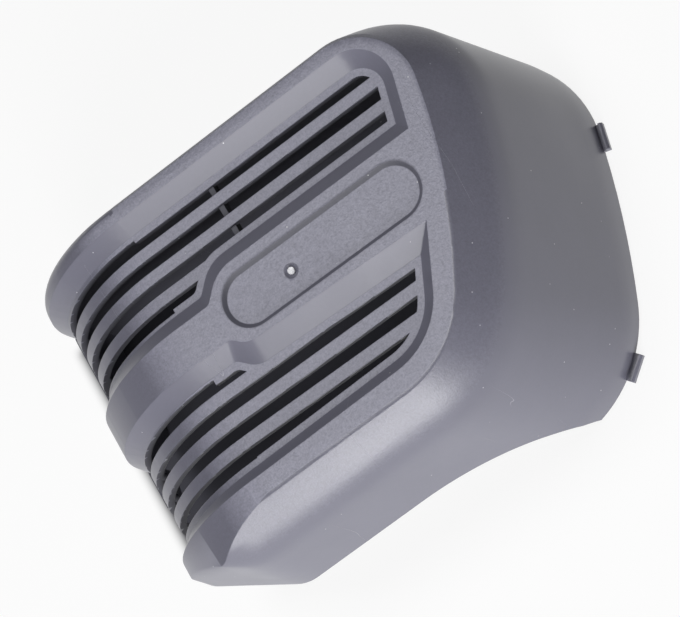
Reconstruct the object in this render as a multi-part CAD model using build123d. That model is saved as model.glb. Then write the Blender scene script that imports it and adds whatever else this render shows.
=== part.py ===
from build123d import *
import math
import os
from dataclasses import dataclass, fields

# A one-piece injection moulded ventilation cover, open at the back.
# X runs along the vent slots, Y across them, Z up: the slotted face is on top
# and the open rim is at Z = 0. The badge recess is centred on X = Y = 0 while
# the cover is modelled, and the finished shell is moved so that the middle of
# its box stands on the origin.

# ---- whole shell ----
HEIGHT = 90.0            # slotted face above the rim
WALL = 2.5               # moulded wall
RIDGE_DROP = 12.0        # face down to the ridge where the chamfer meets the walls
FACE_FAR = 53.5          # straight +Y edge of the face
RIDGE_FAR = 56.5
RIM_FAR = 57.5
FACE_NEAR = -55.4        # straight -Y edge of the face, at X = 0
RIDGE_NEAR = -66.6
RIM_NEAR = -76.8
NEAR_LEAN = 0.022        # the -Y edges lean outwards towards the -X end

# ---- bowed +X side: X at Y = 0, lean from the Y axis, radius of the bow ----
FACE_SIDE = 46.5
FACE_SIDE_LEAN = 18.8
FACE_BOW = 200.0
RIDGE_SIDE = 61.6
RIDGE_SIDE_LEAN = 19.0
RIDGE_BOW = 185.0
RIM_SIDE = 78.3
RIM_SIDE_LEAN = 16.0
RIM_BOW = 320.0

# ---- corner radii in plan ----
FACE_FAR_CORNER = 22.0
RIDGE_FAR_CORNER = 31.0
RIM_FAR_CORNER = 40.0
FACE_NEAR_CORNER = 36.0
RIDGE_NEAR_CORNER = 50.0
RIM_NEAR_CORNER = 48.0
LEFT_FAR_CORNER = 11.0

# ---- facet across the corner of the -X and -Y walls: X where it leaves the -Y
# edge, Y where it reaches the -X wall, and the rounds at its two ends ----
FACE_FACET_X = -97.0
FACE_FACET_Y = -45.0
RIDGE_FACET_X = -76.0
RIDGE_FACET_Y = -50.0
RIM_FACET_X = -77.0
RIM_FACET_Y = -58.0
FACET_NEAR_ROUND = 14.0
FACET_LEFT_ROUND = 8.0

# ---- rounded edges ----
RIDGE_ROUND_DOWN = 0.07  # share of the wall, below the ridge, that is rounded
RIDGE_ROUND_UP = 0.4     # share of the chamfer, above the ridge, that is rounded
RIDGE_STEPS = 5          # levels that make up the round
BORDER_DOWN = 0.09       # share of the chamfer rounded into the face
BORDER_IN = 1.1          # how far the border's round reaches into the face
BORDER_FAR_IN = 3.0      # the same at the straight +Y edge
BORDER_STEPS = 3
CREASE_TOP_IN = 3.0      # edge carried round the rounding: where its round starts, in from FACE_FAR
CREASE_OUT = 0.7         # where the round meets the chamfer, out from FACE_FAR
CREASE_DOWN = 1.6
CREASE_FOOT = 10.0       # depth of the chamfer's foot, at RIM_FAR
CREASE_MID_OUT = 0.6     # middle of the round: shares of its run outwards
CREASE_MID_DOWN = 1 / 3  # and of its drop

# ---- steeper band along the rim ----
BAND_HEIGHT = 9.0
BAND_SIDE_IN = 0.8       # how far the band's top lies inside the rim outline
BAND_NEAR_IN = 0.5

# ---- hollow: shares of the wall by which it lies inside the outer ridge and face ----
CORE_RIDGE_DROP = 0.5
CORE_RIDGE_IN = 0.95
CORE_FACE_FAR_IN = 0.8
CORE_FACE_IN = 0.35

# ---- rounding of the face into the -X wall ----
ROUNDING = 55.0          # radius, seen along Y
ROUNDING_X = -54.0       # where the face starts to fall away
LEFT_DRAFT = 3.0         # draft of the -X wall

# ---- arch that clears the -Y wall and its corner ----
ARCH_RISE = 38.6         # height of the cut rim above the full rim
ARCH_RADIUS = 60.0       # sweep of the rim from the arch down to Z = 0
ARCH_START = -28.0       # X where the sweep starts
LEFT_ARCH_START = -46.0  # Y where the sweep starts on the -X wall

# ---- vent pockets, in their own frame: distances from the badge axis ----
POCKET_DEPTH = 4.5
POCKET_END_Z = 34.0      # the pockets run out on the -X wall at this height
SLOT_WIDTH = 4.3
SLOT_MARGIN = 2.4        # floor left between a slot's end and the pocket wall
FAR_SLOTS = 14.7         # first slot of the +Y pocket from the badge axis
FAR_PITCH = 8.2
NEAR_SLOTS = 15.6
NEAR_PITCH = 8.4
SLOT_COUNT = 4

# ---- badge recess and gate mark ----
BADGE_REACH = 28.2       # half the distance between the two round ends
BADGE_RADIUS = 8.5
BADGE_DEPTH = 1.1
BADGE_SLOPE = 1.3        # run of the sloping wall round the recess
BADGE_OVERCUT = 1.0      # recess cutter above the face
GATE_X = -12.7
GATE_Y = -0.6
GATE_DIMPLE = 5.2
GATE_DIMPLE_DEPTH = 0.9
GATE_STUB = 2.3
GATE_STUB_HEIGHT = 1.1
GATE_STUB_ROOT = 0.5     # stub below the dimple's floor

# ---- snap tabs on the rim ----
TAB_LENGTH = 9.6
TAB_THICKNESS = 1.6
TAB_HEIGHT = 3.0         # over the hook at the tab's outer end
TAB_HOOK = 1.5           # width of the hook
TAB_LEAD = 0.7           # lead-in chamfer on the hook
TAB_ROOT = 1.5           # root inside the wall
SIDE_TAB_Y = 5.6
SIDE_TAB_OUT = 2.4
CORNER_TAB_X = 46.0
CORNER_TAB_Y = -65.6
CORNER_TAB_OUT = 3.0

# ---- stiffening rib under the bars of the +Y pocket ----
STIFFENER_X = -23.0
STIFFENER_WIDTH = 2.0
STIFFENER_DEPTH = 3.5    # below the underside of the bars
STIFFENER_IN = 12.0      # ends of the rib, from the badge axis
STIFFENER_OUT = 46.0

# ---- reach of cutters ----
BIG = 300.0              # passes right through
CORE_REACH = 1.0         # core below the rim
POCKET_OVERLAP = 6.0     # the pockets' plan past the start of the rounding
POCKET_OVERCUT = 1.0     # pocket cutters above the face
SLOT_OVERCUT = 1.0       # slot cutters above the pocket floor and below the wall
STEP_LOW_ROUND = 3.0     # round where a pocket's inner edge starts to step
ARCH_INNER = -30.0       # the near arch cuts everything beyond this Y
ARCH_LEFT_INNER = -80.0  # the left arch cuts everything beyond this X


@dataclass
class Level:
    """One level of the shell's plan outline."""

    height: float
    far: float
    near: float
    side: float
    lean: float
    bow: float
    far_corner: float
    near_corner: float
    facet_x: float
    facet_y: float


FACE = Level(HEIGHT, FACE_FAR, FACE_NEAR, FACE_SIDE, FACE_SIDE_LEAN, FACE_BOW,
             FACE_FAR_CORNER, FACE_NEAR_CORNER, FACE_FACET_X, FACE_FACET_Y)
RIDGE = Level(HEIGHT - RIDGE_DROP, RIDGE_FAR, RIDGE_NEAR, RIDGE_SIDE, RIDGE_SIDE_LEAN, RIDGE_BOW,
              RIDGE_FAR_CORNER, RIDGE_NEAR_CORNER, RIDGE_FACET_X, RIDGE_FACET_Y)
BAND = Level(BAND_HEIGHT, RIM_FAR, RIM_NEAR + BAND_NEAR_IN, RIM_SIDE - BAND_SIDE_IN, RIM_SIDE_LEAN,
             RIM_BOW, RIM_FAR_CORNER, RIM_NEAR_CORNER, RIM_FACET_X, RIM_FACET_Y)
RIM = Level(0.0, RIM_FAR, RIM_NEAR, RIM_SIDE, RIM_SIDE_LEAN, RIM_BOW,
            RIM_FAR_CORNER, RIM_NEAR_CORNER, RIM_FACET_X, RIM_FACET_Y)


def meet(point, direction, other_point, other_direction):
    """Where two lines in the plan meet."""
    (px, py), (dx, dy) = point, direction
    (qx, qy), (ex, ey) = other_point, other_direction
    along = ((qx - px) * ey - (qy - py) * ex) / (dx * ey - dy * ex)
    return (px + along * dx, py + along * dy)


def left_x(height, inset=0.0):
    """X of the drafted -X wall at a height; the wall is tangent to the rounding."""
    draft = math.radians(LEFT_DRAFT)
    reach = (ROUNDING - inset) / math.cos(draft)
    return ROUNDING_X - reach + (height - (HEIGHT - ROUNDING)) * math.tan(draft)


def outline(level, height, far_inset=0.0, inset=0.0, left_inset=0.0):
    """Plan outline at a height, moved inwards by the insets."""
    lean = math.radians(level.lean)
    bow = level.bow - inset
    centre_x = level.side - level.bow * math.cos(lean)
    centre_y = level.bow * math.sin(lean)

    def side_x(y):
        return centre_x + math.sqrt(bow ** 2 - (y - centre_y) ** 2)

    left = left_x(height, left_inset)
    far = level.far - far_inset
    near = level.near + inset
    near_right = near + NEAR_LEAN * side_x(near)
    middle = (far + near) / 2
    facet_foot = level.near + NEAR_LEAN * level.facet_x
    facet = Vector(left_x(height) - level.facet_x, level.facet_y - facet_foot).normalized()
    facet_point = (level.facet_x + facet.Y * inset, facet_foot - facet.X * inset)
    far_left = (left, far)
    far_right = (side_x(far), far)
    low_right = (side_x(near_right), near_right)
    facet_near = meet((0, near), (1, NEAR_LEAN), facet_point, (facet.X, facet.Y))
    facet_left = meet((left, 0), (0, 1), facet_point, (facet.X, facet.Y))
    plan = make_face([
        Line(far_left, far_right),
        ThreePointArc(far_right, (side_x(middle), middle), low_right),
        Polyline(low_right, facet_near, facet_left, far_left),
    ])
    corners = [(far_left, LEFT_FAR_CORNER), (far_right, level.far_corner),
               (low_right, level.near_corner), (facet_near, FACET_NEAR_ROUND),
               (facet_left, FACET_LEFT_ROUND)]
    for place, radius in corners:
        corner = plan.vertices().sort_by_distance((*place, 0))[0]
        plan = fillet(corner, radius - inset)
    return Pos(0, 0, height) * plan


def rounding_cutter(inset=0.0):
    """Everything above and left of the rounding between the face and the -X wall."""
    draft = math.radians(LEFT_DRAFT)
    radius = ROUNDING - inset
    centre_z = HEIGHT - ROUNDING
    top = (ROUNDING_X, centre_z + radius)
    middle_angle = (math.pi / 2 + draft) / 2
    middle = (ROUNDING_X - radius * math.cos(middle_angle), centre_z + radius * math.sin(middle_angle))
    foot = (ROUNDING_X - radius * math.cos(draft), centre_z + radius * math.sin(draft))
    profile = make_face([
        ThreePointArc(top, middle, foot),
        Polyline(foot, (-BIG, foot[1]), (-BIG, BIG), (ROUNDING_X, BIG), top),
    ])
    return extrude(Plane.XZ * profile, amount=BIG, both=True)


def mix(low, high, share):
    """A level the given share of the way from one level to another."""
    names = [field.name for field in fields(Level)]
    values = [(1 - share) * getattr(low, name) + share * getattr(high, name) for name in names]
    return Level(*values)


def rounded_levels(below, edge, above, steps):
    """Levels that round off the edge between two others."""
    levels = []
    for step in range(steps):
        share = step / (steps - 1)
        levels.append(mix(mix(below, edge, share), mix(edge, above, share), share))
    return levels


def outer_levels():
    """Levels of the outside form, from the rim up to the face."""
    ridge = rounded_levels(mix(RIDGE, BAND, RIDGE_ROUND_DOWN), RIDGE, mix(RIDGE, FACE, RIDGE_ROUND_UP),
                           RIDGE_STEPS)
    border = Level(FACE.height, FACE.far - BORDER_FAR_IN, FACE.near + BORDER_IN, FACE.side - BORDER_IN,
                   FACE.lean, FACE.bow - BORDER_IN, FACE.far_corner - BORDER_IN,
                   FACE.near_corner - BORDER_IN, FACE.facet_x, FACE.facet_y)
    return [RIM, BAND, *ridge, *rounded_levels(mix(FACE, RIDGE, BORDER_DOWN), FACE, border, BORDER_STEPS)]


def crease_cutter(inset=0.0):
    """Carries the chamfered +Y edge of the face round the rounding."""
    corners = [(FACE_FAR - CREASE_TOP_IN, 0), (FACE_FAR + CREASE_OUT, CREASE_DOWN),
               (RIM_FAR, CREASE_FOOT), (RIM_FAR + WALL, CREASE_FOOT), (RIM_FAR + WALL, -WALL),
               (FACE_FAR - CREASE_TOP_IN, -WALL)]
    top, bend, *rest = [(ROUNDING_X, y - inset, HEIGHT - depth - inset) for y, depth in corners]
    middle = (ROUNDING_X, top[1] + CREASE_MID_OUT * (bend[1] - top[1]), top[2] + CREASE_MID_DOWN * (bend[2] - top[2]))
    section = make_face([ThreePointArc(top, middle, bend), Polyline(bend, *rest, top)])
    return wrap(section, -CORE_REACH)


def outer_body():
    """Solid block with the outside form of the cover."""
    levels = [outline(level, level.height) for level in outer_levels()]
    return loft(levels, ruled=True) - rounding_cutter() - crease_cutter()


def inner_core():
    """The hollow, one wall thickness inside the outer body."""
    levels = [
        outline(RIM, -CORE_REACH, WALL, WALL, WALL),
        outline(BAND, BAND.height, WALL, WALL, WALL),
        outline(RIDGE, RIDGE.height - CORE_RIDGE_DROP * WALL, WALL, CORE_RIDGE_IN * WALL, WALL),
        outline(FACE, HEIGHT - WALL, CORE_FACE_FAR_IN * WALL, CORE_FACE_IN * WALL, WALL),
    ]
    return loft(levels, ruled=True) - rounding_cutter(WALL) - crease_cutter(WALL)


def sweep_profile(start):
    """Profile of an arch cutter: level at the arch rise, then swept down to the rim."""
    turn = math.acos(1 - ARCH_RISE / ARCH_RADIUS)
    centre_z = ARCH_RISE - ARCH_RADIUS
    middle = (start + ARCH_RADIUS * math.sin(turn / 2), centre_z + ARCH_RADIUS * math.cos(turn / 2))
    foot = (start + ARCH_RADIUS * math.sin(turn), 0)
    return make_face([
        Line((-BIG, ARCH_RISE), (start, ARCH_RISE)),
        ThreePointArc((start, ARCH_RISE), middle, foot),
        Polyline(foot, (foot[0], -BIG), (-BIG, -BIG), (-BIG, ARCH_RISE)),
    ])


def arch_cutters():
    """Cuts that raise the rim of the -Y wall and of the corner next to it."""
    near_wall = extrude(Plane.XZ * sweep_profile(ARCH_START), amount=BIG)
    near_wall = Pos(0, ARCH_INNER, 0) * near_wall
    left_plane = Plane(origin=(ARCH_LEFT_INNER, 0, 0), x_dir=(0, 1, 0), z_dir=(1, 0, 0))
    left_wall = extrude(left_plane * sweep_profile(LEFT_ARCH_START), amount=-BIG)
    return near_wall + left_wall


@dataclass
class Pocket:
    """A vent pocket. Distances across the slots are counted away from the badge."""

    side: int            # +1 for the +Y pocket, -1 for the -Y one
    inner_left: float    # edge beside the badge, left of the step
    inner: float         # the same edge at the step's right end
    tip: float           # and at the +X end
    outer: float         # edge away from the badge, at the +X end
    outer_lean: float
    step_x: float
    step_round: float
    end_x: float
    end_lean: float      # X gained per mm away from the badge along the end wall
    end_corner: float
    inner_left_run: float    # run of the sloping walls
    inner_run: float
    outer_run: float
    end_run: float
    first_slot: float
    pitch: float


def pocket_plan(pocket, depth, grow=0.0, margin=0.0):
    """Plan of a pocket at a depth below the face, grown outwards or cut back by a margin."""

    def shift(run):
        return run * depth / POCKET_DEPTH - grow * math.hypot(1, run / POCKET_DEPTH) + margin

    inner_left = shift(pocket.inner_left_run)
    inner = shift(pocket.inner_run)
    outer = shift(pocket.outer_run)
    end = shift(pocket.end_run) * math.hypot(1, pocket.end_lean)
    step = -math.sqrt(2) * (inner_left + inner) / 2
    step_rise = pocket.inner - pocket.inner_left
    low_step = (pocket.step_x + inner_left + step, pocket.inner_left + inner_left)
    high_step = (pocket.step_x + step_rise + inner + step, pocket.inner + inner)
    inner_line = ((pocket.step_x + step_rise, pocket.inner + inner),
                  (pocket.end_x - pocket.step_x - step_rise, pocket.tip - pocket.inner))
    end_line = ((pocket.end_x - end, pocket.tip), (pocket.end_lean, 1))
    outer_line = ((0, pocket.outer - outer), (1, -pocket.outer_lean))
    tip = meet(*inner_line, *end_line)
    corner = meet(*outer_line, *end_line)
    left = ROUNDING_X - POCKET_OVERLAP
    points = [(left, pocket.inner_left + inner_left), low_step, high_step, tip, corner,
              (left, pocket.outer - outer - pocket.outer_lean * left)]
    plan = make_face(Polyline(*points, close=True))
    rounds = [(low_step, STEP_LOW_ROUND), (high_step, pocket.step_round),
              (corner, pocket.end_corner - outer)]
    for place, radius in rounds:
        vertex = plan.vertices().sort_by_distance((*place, 0))[0]
        plan = fillet(vertex, radius)
    if pocket.side < 0:
        plan = mirror(plan, Plane.XZ)
    return Pos(0, 0, HEIGHT - depth) * plan


def wrap(section, end_z=None):
    """Carry a section round the rounding, and on down the -X wall if a lower end is given."""
    axis = Axis((ROUNDING_X, 0, HEIGHT - ROUNDING), (0, -1, 0))
    turn = 90 - LEFT_DRAFT
    bend = revolve(section, axis, revolution_arc=turn)
    if end_z is None:
        return bend
    lower = section.rotate(axis, turn)
    foot_z = HEIGHT - ROUNDING + ROUNDING * math.sin(math.radians(LEFT_DRAFT))
    draft = math.radians(LEFT_DRAFT)
    down = Vector(-math.sin(draft), 0, -math.cos(draft))
    run = (foot_z - end_z) / math.cos(draft)
    return bend + extrude(lower, amount=run, dir=down)


def cross_section(corners):
    """Face standing on the plane where the rounding starts, from (Y, depth) corners."""
    points = [(ROUNDING_X, y, HEIGHT - depth) for y, depth in corners]
    return make_face(Polyline(*points, close=True))


def pocket_form(pocket, grow=0.0):
    """The pocket as a solid: its plan on the face, wrapped down the -X wall."""
    top = -POCKET_OVERCUT
    floor = POCKET_DEPTH + grow
    on_face = loft([pocket_plan(pocket, floor, grow), pocket_plan(pocket, top, grow)], ruled=True)

    def edges(depth):
        inner = pocket.inner_left_run * depth / POCKET_DEPTH
        inner -= grow * math.hypot(1, pocket.inner_left_run / POCKET_DEPTH)
        outer = pocket.outer_run * depth / POCKET_DEPTH
        outer -= grow * math.hypot(1, pocket.outer_run / POCKET_DEPTH)
        outer_edge = pocket.outer - outer - pocket.outer_lean * ROUNDING_X
        return pocket.side * (pocket.inner_left + inner), pocket.side * outer_edge

    inner_top, outer_top = edges(top)
    inner_floor, outer_floor = edges(floor)
    section = cross_section([(inner_top, top), (outer_top, top), (outer_floor, floor), (inner_floor, floor)])
    return on_face + wrap(section, POCKET_END_Z - grow)


def slot_cutters(pocket):
    """All the slots of one pocket."""
    top = POCKET_DEPTH - SLOT_OVERCUT
    foot = POCKET_DEPTH + WALL + SLOT_OVERCUT
    limit = pocket_plan(pocket, POCKET_DEPTH, margin=SLOT_MARGIN)
    limit = Pos(0, 0, POCKET_DEPTH - HEIGHT) * limit
    cutters = []
    for number in range(SLOT_COUNT):
        centre = pocket.side * (pocket.first_slot + number * pocket.pitch)
        strip = Pos(ROUNDING_X + BIG / 2, centre) * Rectangle(BIG, SLOT_WIDTH)
        plan = strip & limit
        cutters.append(Pos(0, 0, HEIGHT - foot) * extrude(plan, amount=foot - top))
        low, high = centre - SLOT_WIDTH / 2, centre + SLOT_WIDTH / 2
        section = cross_section([(low, top), (high, top), (high, foot), (low, foot)])
        cutters.append(wrap(section))
    return cutters


FAR_POCKET = Pocket(side=1, inner_left=6.0, inner=13.8, tip=13.8, outer=48.4, outer_lean=0.0,
                    step_x=-41.5, step_round=14.0, end_x=43.0, end_lean=0.28, end_corner=14.0,
                    inner_left_run=5.5, inner_run=5.5, outer_run=5.6, end_run=4.8,
                    first_slot=FAR_SLOTS, pitch=FAR_PITCH)
NEAR_POCKET = Pocket(side=-1, inner_left=7.6, inner=12.0, tip=13.8, outer=47.6, outer_lean=0.03,
                     step_x=-41.0, step_round=8.0, end_x=32.6, end_lean=-0.5, end_corner=26.0,
                     inner_left_run=5.4, inner_run=6.8, outer_run=4.2, end_run=4.4,
                     first_slot=NEAR_SLOTS, pitch=NEAR_PITCH)


def badge_cutter():
    """Shallow recess with two round ends and a sloping wall."""
    def stadium(radius, height):
        return Pos(0, 0, height) * SlotCenterToCenter(2 * BADGE_REACH, 2 * radius)

    slope = BADGE_SLOPE / BADGE_DEPTH
    levels = [stadium(BADGE_RADIUS, HEIGHT - BADGE_DEPTH),
              stadium(BADGE_RADIUS + BADGE_SLOPE + slope * BADGE_OVERCUT, HEIGHT + BADGE_OVERCUT)]
    return loft(levels, ruled=True)


def gate_mark(shell):
    """The gate's dimple in the recess floor, with the cut stub standing in it."""
    floor = HEIGHT - BADGE_DEPTH
    dimple = Pos(GATE_X, GATE_Y, floor) * Cone(
        GATE_STUB / 2, GATE_DIMPLE / 2, GATE_DIMPLE_DEPTH, align=(Align.CENTER, Align.CENTER, Align.MAX))
    stub = Pos(GATE_X, GATE_Y, floor - GATE_DIMPLE_DEPTH - GATE_STUB_ROOT) * Cylinder(
        GATE_STUB / 2, GATE_STUB_HEIGHT + GATE_STUB_ROOT, align=(Align.CENTER, Align.CENTER, Align.MIN))
    return shell - dimple + stub


def snap_tab(place, stand_out):
    """A hooked tab on the rim, standing out at the place nearest to the one given."""
    edge = outline(RIM, 0).edges().sort_by_distance((*place, 0))[0]
    share = edge.param_at_point(edge.distance_to_with_closest_points(Vertex(*place, 0))[1])
    root = edge @ share
    along = edge % share
    if along.Y < 0:
        along = -along
    plane = Plane(origin=root, x_dir=along.cross(Vector(0, 0, 1)), z_dir=-along)
    points = [(-TAB_ROOT, 0), (stand_out, 0), (stand_out, TAB_HEIGHT - TAB_LEAD),
              (stand_out - TAB_LEAD, TAB_HEIGHT), (stand_out - TAB_HOOK, TAB_HEIGHT),
              (stand_out - TAB_HOOK, TAB_THICKNESS), (-TAB_ROOT, TAB_THICKNESS)]
    profile = make_face(Polyline(*points, close=True))
    return extrude(plane * profile, amount=TAB_LENGTH / 2, both=True)


def stiffener():
    """Rib that ties the bars of the +Y pocket together from below."""
    root = WALL / 2
    top = HEIGHT - POCKET_DEPTH - WALL + root
    middle = (STIFFENER_IN + STIFFENER_OUT) / 2
    rib = Box(STIFFENER_WIDTH, STIFFENER_OUT - STIFFENER_IN, STIFFENER_DEPTH + root,
              align=(Align.CENTER, Align.CENTER, Align.MAX))
    return Pos(STIFFENER_X, middle, top) * rib


def build_shell():
    outer = outer_body()
    shell = outer - inner_core()
    pockets = [FAR_POCKET, NEAR_POCKET]
    for pocket in pockets:
        shell += pocket_form(pocket, WALL) & outer
    for pocket in pockets:
        shell -= pocket_form(pocket)
    for pocket in pockets:
        for cutter in slot_cutters(pocket):
            shell -= cutter
    shell += stiffener()
    shell -= badge_cutter()
    shell = gate_mark(shell)
    shell -= arch_cutters()
    shell += snap_tab((RIM_SIDE, SIDE_TAB_Y), SIDE_TAB_OUT)
    shell += snap_tab((CORNER_TAB_X, CORNER_TAB_Y), CORNER_TAB_OUT)
    return shell


shell = build_shell()
centre = shell.bounding_box().center()
housing_shell = Pos(-centre.X, -centre.Y, 0) * shell
os.makedirs("parts", exist_ok=True)
export_step(housing_shell, "parts/housing_shell.step")
print("housing shell volume", round(housing_shell.volume), "mm3, moved by", -centre.X, -centre.Y)
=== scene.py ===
"""Looks for a one-piece moulded ventilation cover: shell, plastic finishes, floor, lights and camera."""

import logging
import math
from dataclasses import dataclass, field
from enum import Enum

import bmesh
import bpy
import numpy as np
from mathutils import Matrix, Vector


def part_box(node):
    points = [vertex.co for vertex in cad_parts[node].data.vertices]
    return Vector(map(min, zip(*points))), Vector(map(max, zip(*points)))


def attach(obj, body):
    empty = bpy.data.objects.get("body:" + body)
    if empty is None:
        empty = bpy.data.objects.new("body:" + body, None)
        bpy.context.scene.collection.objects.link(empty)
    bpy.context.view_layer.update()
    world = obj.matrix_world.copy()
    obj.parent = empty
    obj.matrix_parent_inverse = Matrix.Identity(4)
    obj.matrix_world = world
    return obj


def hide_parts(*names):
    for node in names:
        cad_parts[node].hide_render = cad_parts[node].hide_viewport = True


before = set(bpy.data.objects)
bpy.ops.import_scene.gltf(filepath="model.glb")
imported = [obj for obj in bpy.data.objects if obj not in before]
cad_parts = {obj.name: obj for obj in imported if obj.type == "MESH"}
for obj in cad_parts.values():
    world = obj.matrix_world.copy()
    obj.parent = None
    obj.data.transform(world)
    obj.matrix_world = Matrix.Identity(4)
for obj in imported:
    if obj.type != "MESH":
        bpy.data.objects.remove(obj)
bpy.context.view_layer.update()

LOG = logging.getLogger("vented_cover")
Colour = tuple[float, ...]
Span = tuple[float, float]
MM = 0.001

# Offset of the badge centre from the middle of the cover's box, in mm.
BADGE_X = 13.8001
BADGE_Y = 8.8992

# Axis of the rounding from the top into the -X wall, from the badge centre, in mm.
ROUNDING_X = -54.0
ROUNDING_Z = 35.0


class Surface(Enum):
    """Named surfaces of the moulding, by the order of their material slots."""

    SHELL = 0
    GATE = 1


class Graph:
    """Short calls for laying nodes in a tree."""

    def __init__(self, tree: bpy.types.NodeTree) -> None:
        """Keeps the tree.

        Args:
            tree: The node tree that the calls add to.
        """
        self.tree = tree

    def add(self, kind: str, **settings: object) -> bpy.types.Node:
        """Adds a node and sets its own settings.

        Args:
            kind: Blender's type name of the node.
            **settings: Attributes of the node.

        Returns:
            The new node.
        """
        node = self.tree.nodes.new(kind)
        for name, value in settings.items():
            setattr(node, name, value)
        return node

    def plug(self, value: object, socket: bpy.types.NodeSocket) -> None:
        """Links a socket, or sets a plain value on it.

        Args:
            value: An output socket, or a number or tuple.
            socket: The input socket that takes it.
        """
        if isinstance(value, bpy.types.NodeSocket):
            self.tree.links.new(value, socket)
        else:
            socket.default_value = value

    def maths(self, operation: str, *values: object, clamp: bool = False) -> bpy.types.NodeSocket:
        """Adds a Math node.

        Args:
            operation: Blender's name of the operation.
            *values: Up to three sockets or numbers.
            clamp: Whether the result is held between 0 and 1.

        Returns:
            The node's output.
        """
        node = self.add("ShaderNodeMath", operation=operation, use_clamp=clamp)
        for value, socket in zip(values, node.inputs):
            self.plug(value, socket)
        return node.outputs[0]

    def vector(self, operation: str, *values: object) -> bpy.types.Node:
        """Adds a Vector Math node.

        Args:
            operation: Blender's name of the operation.
            *values: Up to three sockets or tuples.

        Returns:
            The node.
        """
        node = self.add("ShaderNodeVectorMath", operation=operation)
        for value, socket in zip(values, node.inputs):
            self.plug(value, socket)
        return node

    def step(self, value: object, low: float, high: float) -> bpy.types.NodeSocket:
        """Adds a smooth step from 0 at low to 1 at high.

        Args:
            value: The socket that is stepped.
            low: Where the result is 0.
            high: Where the result is 1.

        Returns:
            The stepped value.
        """
        node = self.add("ShaderNodeMapRange", interpolation_type="SMOOTHSTEP")
        for item, socket in zip((value, low, high, 0.0, 1.0), node.inputs):
            self.plug(item, socket)
        return node.outputs["Result"]

    def noise(self, vector: bpy.types.NodeSocket, scale: float, detail: float = 2.0,
              roughness: float = 0.5) -> bpy.types.NodeSocket:
        """Adds a Noise texture.

        Args:
            vector: The coordinates that it reads.
            scale: Features per metre.
            detail: Octaves.
            roughness: Share that each octave adds.

        Returns:
            The noise value.
        """
        node = self.add("ShaderNodeTexNoise")
        self.plug(vector, node.inputs["Vector"])
        node.inputs["Scale"].default_value = scale
        node.inputs["Detail"].default_value = detail
        node.inputs["Roughness"].default_value = roughness
        return node.outputs["Fac"]

    def blend(self, share: object, first: object, second: object) -> bpy.types.NodeSocket:
        """Adds a colour Mix node.

        Args:
            share: How much of the second colour shows.
            first: Colour at 0.
            second: Colour at 1.

        Returns:
            The mixed colour.
        """
        node = self.add("ShaderNodeMix", data_type="RGBA")
        self.plug(share, node.inputs[0])
        self.plug(first, node.inputs[6])
        self.plug(second, node.inputs[7])
        return node.outputs[2]


def new_group(name: str, inputs: dict[str, tuple[str, float]],
              outputs: dict[str, str]) -> bpy.types.NodeTree:
    """Starts a shader node group with named sockets.

    Args:
        name: The group's name.
        inputs: Socket name to its type and starting value.
        outputs: Socket name to its type.

    Returns:
        The group's tree, with its input and output nodes added.
    """
    tree = bpy.data.node_groups.new(name, "ShaderNodeTree")
    for label, (kind, value) in inputs.items():
        socket = tree.interface.new_socket(name=label, in_out="INPUT", socket_type=kind)
        if kind == "NodeSocketFloat":
            socket.default_value = value
    for label, kind in outputs.items():
        tree.interface.new_socket(name=label, in_out="OUTPUT", socket_type=kind)
    tree.nodes.new("NodeGroupInput")
    tree.nodes.new("NodeGroupOutput")
    return tree


def new_material(name: str, shader: str) -> tuple[bpy.types.Material, Graph, bpy.types.Node]:
    """Starts a material with one shader wired to its output.

    Args:
        name: The material's name.
        shader: Blender's type name of the shader node.

    Returns:
        The material, a graph on its tree and the shader node.
    """
    material = bpy.data.materials.new(name)
    material.use_nodes = True
    material.node_tree.nodes.clear()
    g = Graph(material.node_tree)
    node = g.add(shader)
    g.plug(node.outputs[0], g.add("ShaderNodeOutputMaterial").inputs["Surface"])
    return material, g, node


@dataclass(frozen=True)
class SparkGrain:
    """Node group: fine spark-eroded grain of the tool, as a height and a tint."""

    name: str = "spark_grain"
    cell: float = 0.62             # mm
    coarse_cell: float = 1.3
    detail: float = 2.0            # octaves of the fine grain
    harshness: float = 0.65        # share that each octave adds
    coarse_share: float = 0.5

    def build(self) -> bpy.types.NodeTree:
        """Builds the group.

        Returns:
            A group with inputs Vector and Amount, and outputs Height and Tint.
        """
        tree = new_group(self.name,
                         {"Vector": ("NodeSocketVector", 0.0), "Amount": ("NodeSocketFloat", 1.0)},
                         {"Height": "NodeSocketFloat", "Tint": "NodeSocketFloat"})
        g = Graph(tree)
        given = tree.nodes["Group Input"].outputs
        fine = g.noise(given["Vector"], 1 / (self.cell * MM), self.detail, self.harshness)
        coarse = g.noise(given["Vector"], 1 / (self.coarse_cell * MM), 1.0)
        height = g.maths("ADD", fine, g.maths("MULTIPLY", coarse, self.coarse_share))
        mean = (1.0 + self.coarse_share) / 2
        tint = g.maths("SUBTRACT", height, mean)
        result = tree.nodes["Group Output"].inputs
        g.plug(g.maths("MULTIPLY", height, given["Amount"]), result["Height"])
        g.plug(g.maths("MULTIPLY", tint, given["Amount"]), result["Tint"])
        return tree


@dataclass(frozen=True)
class Hairlines:
    """One family of fine scratches."""

    turn: float             # radians
    stretch: float          # how much longer than wide the bends are
    seed: float             # m, place in the noise


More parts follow.
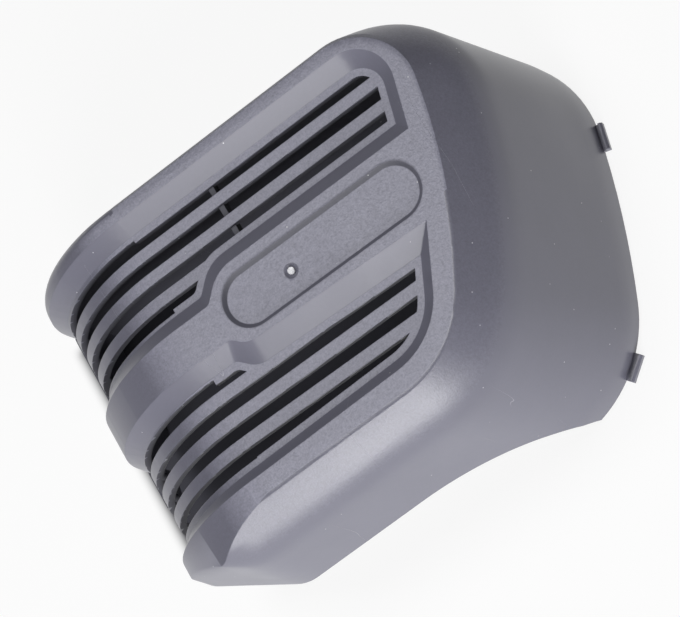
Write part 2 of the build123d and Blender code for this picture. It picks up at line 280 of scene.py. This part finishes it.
@dataclass(frozen=True)
class HandlingMarks:
    """Node group: mottling, rubbed patches, hairline scratches and pale dust specks."""

    name: str = "handling_marks"
    mottle_scale: float = 45.0     # features per metre, as are the other scales
    mottle_detail: float = 4.0
    mottle_harshness: float = 0.6
    rub_scale: float = 26.0
    rub_detail: float = 3.0
    rub_harshness: float = 0.55
    rub_span: Span = (0.52, 0.72)
    scratches: tuple[Hairlines, ...] = (
        Hairlines(0.5, 9.0, 0.13), Hairlines(-0.9, 7.0, 0.41), Hairlines(1.9, 11.0, 0.77))
    scratch_scale: float = 16.0
    scratch_width: Span = (0.0006, 0.0022)
    patch_scale: float = 9.0
    patch_span: Span = (0.7, 0.74)
    speck_scale: float = 260.0
    speck_size: Span = (0.035, 0.07)
    speck_rarity: Span = (0.85, 0.87)

    def scratch(self, g: Graph, place: bpy.types.NodeSocket, family: Hairlines) -> bpy.types.NodeSocket:
        """Draws one family of scratches, as the thin middle line of a stretched noise.

        Args:
            g: The graph that takes the nodes.
            place: Object coordinates.
            family: The scratches' direction, stretch and seed.

        Returns:
            1 on a scratch and 0 elsewhere.
        """
        mapping = g.add("ShaderNodeMapping")
        g.plug(place, mapping.inputs["Vector"])
        turn, seed = family.turn, family.seed
        mapping.inputs["Location"].default_value = (seed, seed * 0.7, seed * 0.3)
        mapping.inputs["Rotation"].default_value = (turn * 0.6, turn, turn * 1.3)
        mapping.inputs["Scale"].default_value = (family.stretch, 1.0, 1.0)
        bends = g.noise(mapping.outputs[0], self.scratch_scale, 1.0, 0.4)
        off_line = g.maths("ABSOLUTE", g.maths("SUBTRACT", bends, 0.5))
        thin = g.maths("SUBTRACT", 1.0, g.step(off_line, *self.scratch_width))
        patch = g.step(g.noise(mapping.outputs[0], self.patch_scale, 1.0), *self.patch_span)
        return g.maths("MULTIPLY", thin, patch)

    def specks(self, g: Graph, place: bpy.types.NodeSocket) -> bpy.types.NodeSocket:
        """Scatters small round specks.

        Args:
            g: The graph that takes the nodes.
            place: Object coordinates.

        Returns:
            1 on a speck and 0 elsewhere.
        """
        cells = g.add("ShaderNodeTexVoronoi", feature="F1")
        g.plug(place, cells.inputs["Vector"])
        cells.inputs["Scale"].default_value = self.speck_scale
        near = g.maths("SUBTRACT", 1.0, g.step(cells.outputs["Distance"], *self.speck_size))
        colour = g.add("ShaderNodeSeparateColor")
        g.plug(cells.outputs["Color"], colour.inputs[0])
        return g.maths("MULTIPLY", near, g.step(colour.outputs[0], *self.speck_rarity), clamp=True)

    def build(self) -> bpy.types.NodeTree:
        """Builds the group.

        Returns:
            A group with the input Vector, and outputs Mottle, Rub, Line and Speck.
        """
        tree = new_group(self.name, {"Vector": ("NodeSocketVector", 0.0)},
                         {"Mottle": "NodeSocketFloat", "Rub": "NodeSocketFloat",
                          "Line": "NodeSocketFloat", "Speck": "NodeSocketFloat"})
        g = Graph(tree)
        place = tree.nodes["Group Input"].outputs["Vector"]
        result = tree.nodes["Group Output"].inputs
        mottle = g.noise(place, self.mottle_scale, self.mottle_detail, self.mottle_harshness)
        rub = g.noise(place, self.rub_scale, self.rub_detail, self.rub_harshness)
        lines = 0.0
        for family in self.scratches:
            lines = g.maths("MAXIMUM", self.scratch(g, place, family), lines, clamp=True)
        g.plug(mottle, result["Mottle"])
        g.plug(g.step(rub, *self.rub_span), result["Rub"])
        g.plug(lines, result["Line"])
        g.plug(self.specks(g, place), result["Speck"])
        return tree


@dataclass(frozen=True)
class MouldedPlastic:
    """Charcoal moulded plastic: grained on top, satin on the walls; dull, with painted shade, inside and
    round the badge.
    """

    name: str = "charcoal_plastic"
    grained_colour: Colour = (0.232, 0.231, 0.288, 1.0)
    satin_colour: Colour = (0.147, 0.146, 0.184, 1.0)
    # Painted shade: the rim colour darkens the slope round the badge, the inside colour the inner faces.
    rim_painted_shade_colour: Colour = (0.05, 0.05, 0.062, 1.0)
    inside_painted_shade_colour: Colour = (0.035, 0.035, 0.045, 1.0)
    scratch_colour: Colour = (0.62, 0.62, 0.68, 1.0)
    dust_colour: Colour = (0.7, 0.7, 0.72, 1.0)
    rim_painted_shade_cover: float = 0.8         # share of its own colour that shows
    inside_painted_shade_cover: float = 0.75
    scratch_cover: float = 0.35
    dust_cover: float = 0.85
    mottling: float = 0.12         # depth of the mottling in the colour
    grain_tint: float = 0.75       # depth of the grain in the colour
    roughness: float = 0.33
    grain_roughness: float = 0.14  # added by the full grain
    dull_roughness: float = 0.3    # added on inner faces and round the badge
    rub_polish: float = 0.05       # taken off by rubbing
    specular: float = 0.5
    least_grain: float = 0.1       # grain left on the smooth surfaces
    grain_height: float = 0.11     # mm
    scratch_depth: float = 0.4     # share of the grain's height
    grain_end: float = -86.0       # mm from the badge centre, where the grain has faded out
    grain_fade: float = 26.0
    edge_round: float = 0.45       # mm, visual rounding of the moulded edges
    edge_samples: int = 6
    badge_reach: float = 28.2      # half the distance between the badge's round ends
    badge_radius: float = 8.5
    badge_slope: float = 1.3       # run of the slope round the badge
    rim_start: Span = (-0.3, 0.2)  # mm past the badge's radius
    rim_end: Span = (-0.5, 0.9)    # mm past the slope
    rim_side: Span = (-6.0, 7.0)   # Y in mm over which the painted shade round the badge gains its strength
    rim_least: float = 0.25        # strength of the painted shade on the -Y side

    def badge_rim_painted_shade(self, g: Graph, place: bpy.types.NodeSocket) -> bpy.types.NodeSocket:
        """Mask of painted shade on the slope round the recessed badge, strongest along its +Y side; the
        slope is also duller.

        Args:
            g: The graph that takes the nodes.
            place: Object coordinates.

        Returns:
            Up to 1 on the slope and 0 elsewhere.
        """
        parts = g.add("ShaderNodeSeparateXYZ")
        g.plug(g.vector("SUBTRACT", place, (BADGE_X * MM, BADGE_Y * MM, 0.0)).outputs[0], parts.inputs[0])
        past_end = g.maths("SUBTRACT", g.maths("ABSOLUTE", parts.outputs[0]), self.badge_reach * MM)
        flat = g.add("ShaderNodeCombineXYZ")
        g.plug(g.maths("MAXIMUM", past_end, 0.0), flat.inputs[0])
        g.plug(parts.outputs[1], flat.inputs[1])
        gap = g.vector("LENGTH", flat.outputs[0]).outputs["Value"]
        inner, outer = self.badge_radius, self.badge_radius + self.badge_slope
        rises = g.step(gap, *((inner + edge) * MM for edge in self.rim_start))
        falls = g.step(gap, *((outer + edge) * MM for edge in self.rim_end))
        side = g.step(parts.outputs[1], *(edge * MM for edge in self.rim_side))
        side = g.maths("MULTIPLY_ADD", side, 1.0 - self.rim_least, self.rim_least)
        return g.maths("MULTIPLY", g.maths("SUBTRACT", rises, falls), side)

    def attribute(self, g: Graph, name: str) -> bpy.types.NodeSocket:
        """Reads one of the shell's own attributes.

        Args:
            g: The graph that takes the nodes.
            name: The attribute's name.

        Returns:
            Its value.
        """
        return g.add("ShaderNodeAttribute", attribute_name=name).outputs["Fac"]

    def grain_share(self, g: Graph, place: bpy.types.NodeSocket) -> bpy.types.NodeSocket:
        """Mask of the grain, which fades out down the rounding.

        Args:
            g: The graph that takes the nodes.
            place: Object coordinates.

        Returns:
            1 on the top, less on the outer chamfer and 0 on walls and pocket sides.
        """
        where = g.add("ShaderNodeSeparateXYZ")
        g.plug(place, where.inputs[0])
        end = (self.grain_end + BADGE_X) * MM
        along = g.step(where.outputs[0], end, end + self.grain_fade * MM)
        return g.maths("MULTIPLY", self.attribute(g, "grained"), along)

    def build(self, groups: dict[str, bpy.types.NodeTree]) -> bpy.types.Material:
        """Builds the material.

        Args:
            groups: The shared node groups, by name.

        Returns:
            The finished material.
        """
        material, g, shader = new_material(self.name, "ShaderNodeBsdfPrincipled")
        place = g.add("ShaderNodeTexCoord").outputs["Object"]
        grained = self.grain_share(g, place)
        painted_inside_shade = self.attribute(g, "painted_inside_shade")
        painted_rim_shade = self.badge_rim_painted_shade(g, place)
        grain = g.add("ShaderNodeGroup", node_tree=groups["spark_grain"])
        g.plug(place, grain.inputs["Vector"])
        amount = g.maths("MULTIPLY_ADD", grained, 1.0 - self.least_grain, self.least_grain)
        g.plug(amount, grain.inputs["Amount"])
        marks = g.add("ShaderNodeGroup", node_tree=groups["handling_marks"])
        g.plug(place, marks.inputs["Vector"])
        marks = marks.outputs

        # The chamfer has half the grain, and keeps the walls' colour and gloss.
        top = g.maths("MULTIPLY_ADD", grained, 2.0, -1.0, clamp=True)
        depth = g.maths("MULTIPLY_ADD", marks["Mottle"], self.mottling, 1.0 - self.mottling / 2)
        depth = g.maths("ADD", depth, g.maths("MULTIPLY", grain.outputs["Tint"], self.grain_tint))
        base = g.vector("SCALE", g.blend(top, self.satin_colour, self.grained_colour))
        g.plug(depth, base.inputs["Scale"])
        colour = base.outputs[0]
        # Painted shade round the badge and on the inner faces, then scratches and dust specks.
        covers = ((painted_rim_shade, self.rim_painted_shade_cover, self.rim_painted_shade_colour), (painted_inside_shade, self.inside_painted_shade_cover, self.inside_painted_shade_colour),
                  (marks["Line"], self.scratch_cover, self.scratch_colour),
                  (marks["Speck"], self.dust_cover, self.dust_colour))
        for mask, cover, shade in covers:
            colour = g.blend(g.maths("MULTIPLY", mask, cover), colour, shade)
        g.plug(colour, shader.inputs["Base Color"])

        rough = g.maths("MULTIPLY_ADD", top, self.grain_roughness, self.roughness)
        rough = g.maths("SUBTRACT", rough, g.maths("MULTIPLY", marks["Rub"], self.rub_polish))
        dull = g.maths("MULTIPLY", g.maths("MAXIMUM", painted_rim_shade, painted_inside_shade), self.dull_roughness)
        g.plug(g.maths("ADD", rough, dull), shader.inputs["Roughness"])
        shader.inputs["Specular IOR Level"].default_value = self.specular

        rounding = g.add("ShaderNodeBevel", samples=self.edge_samples)
        rounding.inputs["Radius"].default_value = self.edge_round * MM
        scratched = g.maths("MULTIPLY", marks["Line"], self.scratch_depth)
        bump = g.add("ShaderNodeBump")
        bump.inputs["Distance"].default_value = self.grain_height * MM
        g.plug(g.maths("SUBTRACT", grain.outputs["Height"], scratched), bump.inputs["Height"])
        g.plug(rounding.outputs[0], bump.inputs["Normal"])
        g.plug(bump.outputs[0], shader.inputs["Normal"])
        return material


@dataclass(frozen=True)
class GatePlastic:
    """Torn stub of the gate, painted near-white as a highlight of its shiny surface."""

    name: str = "gate_stub_plastic"
    # Near-white colour: painted highlight of the shiny stub, varied by the torn texture.
    colour: Colour = (0.8, 0.8, 0.83)
    least_tint: float = 0.5
    torn_tint: float = 0.9
    least_roughness: float = 0.14
    torn_roughness: float = 0.3
    torn_scale: float = 1400.0     # features per metre
    torn_detail: float = 3.0
    torn_harshness: float = 0.6
    torn_height: float = 0.3       # mm
    grain_share: float = 0.1       # of that height

    def build(self, groups: dict[str, bpy.types.NodeTree]) -> bpy.types.Material:
        """Builds the material.

        Args:
            groups: The shared node groups, by name.

        Returns:
            The finished material.
        """
        material, g, shader = new_material(self.name, "ShaderNodeBsdfPrincipled")
        place = g.add("ShaderNodeTexCoord").outputs["Object"]
        grain = g.add("ShaderNodeGroup", node_tree=groups["spark_grain"])
        g.plug(place, grain.inputs["Vector"])
        torn = g.noise(place, self.torn_scale, self.torn_detail, self.torn_harshness)
        base = g.vector("SCALE", self.colour)
        g.plug(g.maths("MULTIPLY_ADD", torn, self.torn_tint, self.least_tint), base.inputs["Scale"])
        g.plug(base.outputs[0], shader.inputs["Base Color"])
        rough = g.maths("MULTIPLY_ADD", torn, self.torn_roughness, self.least_roughness)
        g.plug(rough, shader.inputs["Roughness"])
        bump = g.add("ShaderNodeBump")
        bump.inputs["Distance"].default_value = self.torn_height * MM
        grained = g.maths("MULTIPLY", grain.outputs["Height"], self.grain_share)
        g.plug(g.maths("ADD", torn, grained), bump.inputs["Height"])
        g.plug(bump.outputs[0], shader.inputs["Normal"])
        return material


@dataclass
class VentedShell:
    """The moulded shell: a merged and smoothed copy of the CAD solid."""

    node: str = "housing_shell"
    name: str = "vented_shell"
    slot: str = "shell_plastic"
    merge: float = 0.01            # mm
    smooth_angle: float = 32.0     # degrees
    even_weight: int = 80          # how far large faces lead the shading
    gate: tuple[float, float, float] = (-12.7, -0.6, 88.0)   # its place and foot, in mm
    gate_radius: float = 1.3
    cut_heights: tuple[float, ...] = (15.0, 30.0, 45.0, 55.0, 62.0, 67.0, 71.0, 84.5, 87.0)
    cut_lengths: tuple[float, ...] = (-85.0, -70.0, -55.0, -35.0, -15.0, 5.0, 25.0, 45.0)
    skin_angle: float = 28.0       # degrees between faces of one moulded skin
    wall_facing: float = 0.9       # skin that faces up less than this is wall or chamfer
    top_facing: float = 0.97       # surfaces that face up more than this belong to the top
    chamfer_up: float = 0.15       # the outer chamfer's normals point up more than this
    ridge_height: float = 78.0     # mm, foot of the outer chamfer
    chamfer_grain: float = 0.5     # share of the top's grain
    top_height: float = 90.0       # mm
    grain_depth: float = 5.0       # deepest grained surface, below the top
    tabs: tuple[Span, ...] = ((80.0, 5.6), (46.0, -65.6))    # X and Y from the badge centre
    tab_reach: float = 9.0
    corner: Span = (-84.0, -50.0)  # beyond both, the whole skin counts as wall
    blur: float = 4.0              # mm over which the walls' shading turns
    blur_cut: float = 3.0          # samples beyond this many blurs don't count
    sample_step: float = 4.0
    materials: dict[Surface, bpy.types.Material] = field(default_factory=dict)

    def cut(self, place: tuple[float, ...], across: tuple[int, ...]) -> None:
        """Cuts every face of the piece in edit mode along a plane, which keeps them all.

        Args:
            place: A point of the plane, in mm.
            across: The plane's normal.
        """
        bpy.ops.mesh.select_all(action="SELECT")
        bpy.ops.mesh.bisect(plane_co=[value * MM for value in place], plane_no=across)

    def build(self) -> bpy.types.Object:
        """Copies, merges and smooths the solid.

        Returns:
            The finished piece, riding on the root body.
        """
        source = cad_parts[self.node]
        piece = bpy.data.objects.new(self.name, source.data.copy())
        bpy.context.scene.collection.objects.link(piece)
        bpy.ops.object.select_all(action="DESELECT")
        piece.select_set(True)
        bpy.context.view_layer.objects.active = piece
        bpy.ops.mesh.customdata_custom_splitnormals_clear()
        bpy.ops.object.mode_set(mode="EDIT")
        bpy.ops.mesh.select_all(action="SELECT")
        bpy.ops.mesh.remove_doubles(threshold=self.merge * MM)
        bpy.ops.mesh.mark_sharp(clear=True)
        for height in self.cut_heights:
            self.cut((0.0, 0.0, height), (0, 0, 1))
        for length in self.cut_lengths:
            self.cut((length + BADGE_X, 0.0, 0.0), (1, 0, 0))
        bpy.ops.mesh.select_all(action="SELECT")
        bpy.ops.mesh.quads_convert_to_tris()
        bpy.ops.object.mode_set(mode="OBJECT")
        bpy.ops.object.shade_smooth_by_angle(angle=math.radians(self.smooth_angle))
        weighted = piece.modifiers.new("even_normals", "WEIGHTED_NORMAL")
        weighted.keep_sharp = True
        weighted.weight = self.even_weight
        bpy.ops.object.modifier_apply(modifier=weighted.name)
        self.soften_walls(piece)
        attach(piece, "root")
        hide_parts(self.node)
        return piece

    def facing(self, face: bmesh.types.BMFace) -> tuple[float, float]:
        """Compares a face with the cover's top, which is flat and then rounds off towards -X.

        Args:
            face: A face of the shell.

        Returns:
            The cosine between its normal and the top's, and its depth below the top in mm.
        """
        centre = face.calc_center_median() / MM
        outward = Vector((min(centre.x - BADGE_X - ROUNDING_X, 0.0), 0.0, centre.z - ROUNDING_Z))
        if outward.z < 0:
            return -1.0, self.top_height
        return face.normal.dot(outward.normalized()), self.top_height - ROUNDING_Z - outward.length

    def flood(self, mesh: bmesh.types.BMesh, limit: float, walls_only: bool) -> set[int]:
        """Gathers the outer skin from the +Y wall, across edges that turn less than a limit.

        Args:
            mesh: The shell.
            limit: Largest turn between neighbours, in degrees.
            walls_only: Whether to stop at the top's own surfaces.

        Returns:
            Indices of the faces.
        """
        seed = max(mesh.faces, key=lambda face: face.calc_center_median().y)
        found, waiting = {seed.index}, [seed]
        while waiting:
            for edge in waiting.pop().edges:
                if len(edge.link_faces) != 2 or edge.calc_face_angle() > math.radians(limit):
                    continue
                for face in edge.link_faces:
                    if face.index in found or (walls_only and self.facing(face)[0] > self.top_facing):
                        continue
                    found.add(face.index)
                    waiting.append(face)
        return found

    def sort_faces(self, piece: bpy.types.Object) -> list[int]:
        """Finds the outer walls, and marks grained faces, and inner faces for painted shade, in two
        attributes.

        Args:
            piece: The triangulated shell.

        Returns:
            Indices of the faces whose shading is softened.
        """
        mesh = bmesh.new()
        mesh.from_mesh(piece.data)
        mesh.faces.ensure_lookup_table()
        skin = self.flood(mesh, self.skin_angle, False)
        outer = self.flood(mesh, self.skin_angle, True)
        walls, grained, painted_inside_shade = [], [], []
        for face in mesh.faces:
            facing, depth = self.facing(face)
            centre = face.calc_center_median() / MM
            x, y = centre.x - BADGE_X, centre.y - BADGE_Y
            in_corner = x < self.corner[0] and y < self.corner[1]
            if face.index in skin and (in_corner or facing < self.wall_facing):
                walls.append(face.index)
            on_top = facing > self.top_facing and depth < self.grain_depth
            leans = face.normal.z > self.chamfer_up and centre.z > self.ridge_height
            on_chamfer = leans and face.index in outer
            grained.append(1.0 if on_top else self.chamfer_grain if on_chamfer else 0.0)
            near_tab = any(math.hypot(x - tab[0], y - tab[1]) < self.tab_reach for tab in self.tabs)
            # Inner faces below the grained depth and away from the tabs are marked for painted shade.
            painted_inside_shade.append(float(face.index not in skin and depth > self.grain_depth and not near_tab))
        mesh.free()
        for name, values in (("grained", grained), ("painted_inside_shade", painted_inside_shade)):
            piece.data.attributes.new(name, "FLOAT", "FACE").data.foreach_set("value", values)
        return walls

    def soften_walls(self, piece: bpy.types.Object) -> None:
        """Turns the walls' shading normals gently from face to face.

        Args:
            piece: The triangulated shell, with its own corner normals.
        """
        mesh = piece.data
        walls = self.sort_faces(piece)
        places = np.array([vertex.co for vertex in mesh.vertices])
        points, normals, shares = [], [], []
        for index in walls:
            face = mesh.polygons[index]
            corners = places[list(face.vertices)]
            longest = max(np.linalg.norm(corners - np.roll(corners, 1, 0), axis=1))
            parts = max(1, math.ceil(longest / (self.sample_step * MM)))
            grid = [((i + 1 / 3) / parts, (j + 1 / 3) / parts)
                    for i in range(parts) for j in range(parts - i)]
            for u, v in grid:
                points.append(corners[0] * (1 - u - v) + corners[1] * u + corners[2] * v)
                normals.append(face.normal)
                shares.append(face.area / len(grid))
        points, normals, shares = np.array(points), np.array(normals), np.array(shares)
        used = sorted({vertex for index in walls for vertex in mesh.polygons[index].vertices})
        softened = {}
        blur = self.blur * MM
        for vertex in used:
            gap = ((points - places[vertex]) ** 2).sum(1)
            near = gap < (self.blur_cut * blur) ** 2
            weight = shares[near] * np.exp(-gap[near] / (2 * blur ** 2))
            normal = (normals[near] * weight[:, None]).sum(0)
            softened[vertex] = normal / np.linalg.norm(normal)
        corner_normals = [Vector(corner.vector) for corner in mesh.corner_normals]
        for index in walls:
            for corner in mesh.polygons[index].loop_indices:
                corner_normals[corner] = Vector(softened[mesh.loops[corner].vertex_index])
        mesh.normals_split_custom_set(corner_normals)

    def dress(self, piece: bpy.types.Object) -> None:
        """Gives the shell its materials, with the gate's stub apart.

        Args:
            piece: The built shell.
        """
        piece.data.materials.clear()
        for surface in Surface:
            piece.data.materials.append(self.materials[surface])
        x, y, low = self.gate
        centre = Vector(((x + BADGE_X) * MM, (y + BADGE_Y) * MM))
        for face in piece.data.polygons:
            near = (face.center.xy - centre).length < self.gate_radius * MM
            is_gate = near and face.center.z > low * MM
            face.material_index = (Surface.GATE if is_gate else Surface.SHELL).value


@dataclass(frozen=True)
class Softbox:
    """One soft square lamp, aimed at the cover."""

    name: str
    turn: float             # degrees round the cover, from +X towards +Y
    rise: float             # degrees above the floor
    power: float            # W
    side: float = 0.4       # m
    distance: float = 1.2   # m

    def build(self, target: Vector) -> bpy.types.Object:
        """Hangs the lamp.

        Args:
            target: The point that it faces.

        Returns:
            The lamp object.
        """
        data = bpy.data.lights.new(self.name, "AREA")
        data.shape = "SQUARE"
        data.size = self.side
        data.energy = self.power
        lamp = bpy.data.objects.new(self.name, data)
        bpy.context.scene.collection.objects.link(lamp)
        turn, rise = math.radians(self.turn), math.radians(self.rise)
        level = math.cos(rise)
        away = Vector((level * math.cos(turn), level * math.sin(turn), math.sin(rise)))
        lamp.location = target + away * self.distance
        lamp.rotation_euler = (-away).to_track_quat("-Z", "Y").to_euler()
        lamp.visible_camera = False
        return lamp


@dataclass
class Studio:
    """White floor, five soft lamps, a dim world and the camera."""

    lamps: tuple[Softbox, ...] = (
        Softbox("overhead_softbox", 128.0, 76.0, 7.8),
        Softbox("front_left_softbox", 252.0, 12.0, 4.8),
        Softbox("front_softbox", 268.0, 12.0, 6.0),
        Softbox("front_right_softbox", 285.0, 12.0, 1.0),
        Softbox("raised_front_softbox", 257.0, 40.0, 4.5),
    )
    world_strength: float = 0.04
    backdrop_colour: Colour = (0.8, 0.8, 0.8, 1.0)
    floor_size: float = 6.0        # m
    floor_colour: Colour = (0.8, 0.8, 0.8, 1.0)
    shadow_share: float = 0.12     # share of the cover's shadow that shows on the white floor
    # Floor that lies in the cover's own shade, from the badge centre in mm: the low edge's
    # start and end, then the high edge's start and end, along X and along Y.
    shade_x: tuple[float, float, float, float] = (-128.0, -121.0, 34.0, 48.0)
    shade_y: tuple[float, float, float, float] = (-38.0, -28.0, 55.0, 61.0)
    shade_colour: Colour = (0.05, 0.05, 0.06, 1.0)
    camera_place: tuple[float, ...] = (162.419615, -238.837346, 707.896071)   # mm
    camera_turn: tuple[float, ...] = (8.247709, 22.617486, -31.824741)        # degrees
    lens: float = 116.4706         # mm
    sensor: float = 36.0           # mm
    near_clip: float = 0.01        # m

    def shade(self, g: Graph) -> bpy.types.NodeSocket:
        """Mask of the floor under the cover, with soft edges.

        Args:
            g: The graph that takes the nodes.

        Returns:
            1 under the cover and 0 away from it.
        """
        where = g.add("ShaderNodeSeparateXYZ")
        g.plug(g.add("ShaderNodeTexCoord").outputs["Object"], where.inputs[0])
        sides = zip(where.outputs, (self.shade_x, self.shade_y), (BADGE_X, BADGE_Y))
        share = 1.0
        for socket, edges, offset in sides:
            start, full, end, gone = [(edge + offset) * MM for edge in edges]
            band = g.maths("SUBTRACT", g.step(socket, start, full), g.step(socket, end, gone))
            share = g.maths("MULTIPLY", band, share)
        return share

    def floor(self) -> bpy.types.Object:
        """Lays a pale floor that keeps the cover's shadow, with painted shade in its colour under the
        cover.

        Returns:
            The floor.
        """
        bpy.ops.object.select_all(action="DESELECT")
        bpy.ops.mesh.primitive_plane_add(size=self.floor_size, location=(0, 0, 0))
        floor = bpy.context.view_layer.objects.active
        floor.name = "studio_floor"
        material, g, mix = new_material("white_floor", "ShaderNodeMixShader")
        shade = self.shade(g)
        matt = g.add("ShaderNodeBsdfDiffuse")
        # Painted shade: the floor's own colour goes dark under the cover.
        g.plug(g.blend(shade, self.floor_colour, self.shade_colour), matt.inputs["Color"])
        glow = g.add("ShaderNodeEmission")
        path = g.add("ShaderNodeLightPath")
        seen = g.maths("MAXIMUM", path.outputs["Is Camera Ray"], path.outputs["Is Glossy Ray"])
        bright = g.maths("MULTIPLY", seen, 1.0 - self.shadow_share)
        g.plug(g.maths("MULTIPLY", bright, g.maths("SUBTRACT", 1.0, shade)), mix.inputs[0])
        g.plug(matt.outputs[0], mix.inputs[1])
        g.plug(glow.outputs[0], mix.inputs[2])
        floor.data.materials.append(material)
        LOG.info("%s: laid", floor.name)
        return floor

    def world(self) -> None:
        """Sets a dim even world that shows the camera a pale backdrop."""
        world = bpy.data.worlds.new("studio_world")
        bpy.context.scene.world = world
        world.use_nodes = True
        world.node_tree.nodes.clear()
        g = Graph(world.node_tree)
        soft = g.add("ShaderNodeBackground")
        soft.inputs["Color"].default_value = (1.0, 1.0, 1.0, 1.0)
        soft.inputs["Strength"].default_value = self.world_strength
        pale = g.add("ShaderNodeBackground")
        pale.inputs["Color"].default_value = self.backdrop_colour
        path = g.add("ShaderNodeLightPath")
        mix = g.add("ShaderNodeMixShader")
        g.plug(path.outputs["Is Camera Ray"], mix.inputs[0])
        g.plug(soft.outputs[0], mix.inputs[1])
        g.plug(pale.outputs[0], mix.inputs[2])
        output = g.add("ShaderNodeOutputWorld")
        g.plug(mix.outputs[0], output.inputs["Surface"])

    def camera(self) -> bpy.types.Object:
        """Places the camera.

        Returns:
            The camera object.
        """
        data = bpy.data.cameras.new("studio_camera")
        data.sensor_width = self.sensor
        data.lens = self.lens
        data.clip_start = self.near_clip
        camera = bpy.data.objects.new("studio_camera", data)
        bpy.context.scene.collection.objects.link(camera)
        x, y, z = self.camera_place
        camera.location = ((x + BADGE_X) * MM, (y + BADGE_Y) * MM, z * MM)
        camera.rotation_euler = [math.radians(angle) for angle in self.camera_turn]
        bpy.context.scene.camera = camera
        return camera

    def build(self) -> None:
        """Builds floor, world, lamps and camera."""
        self.floor()
        self.world()
        low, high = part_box("housing_shell")
        target = (low + high) / 2
        for softbox in self.lamps:
            lamp = softbox.build(target)
            LOG.info("%s: %.1f W", lamp.name, softbox.power)
        self.camera()
        bpy.context.scene.view_settings.view_transform = "Standard"


def main() -> None:
    """Builds and dresses the cover, then the studio."""
    logging.basicConfig(level=logging.INFO, format="%(message)s")
    groups = {group.name: group.build() for group in (SparkGrain(), HandlingMarks())}
    shell = VentedShell(materials={Surface.SHELL: MouldedPlastic().build(groups),
                                   Surface.GATE: GatePlastic().build(groups)})
    piece = shell.build()
    shell.dress(piece)
    LOG.info("%s: %d faces", piece.name, len(piece.data.polygons))
    Studio().build()


if __name__ == "__main__":
    main()
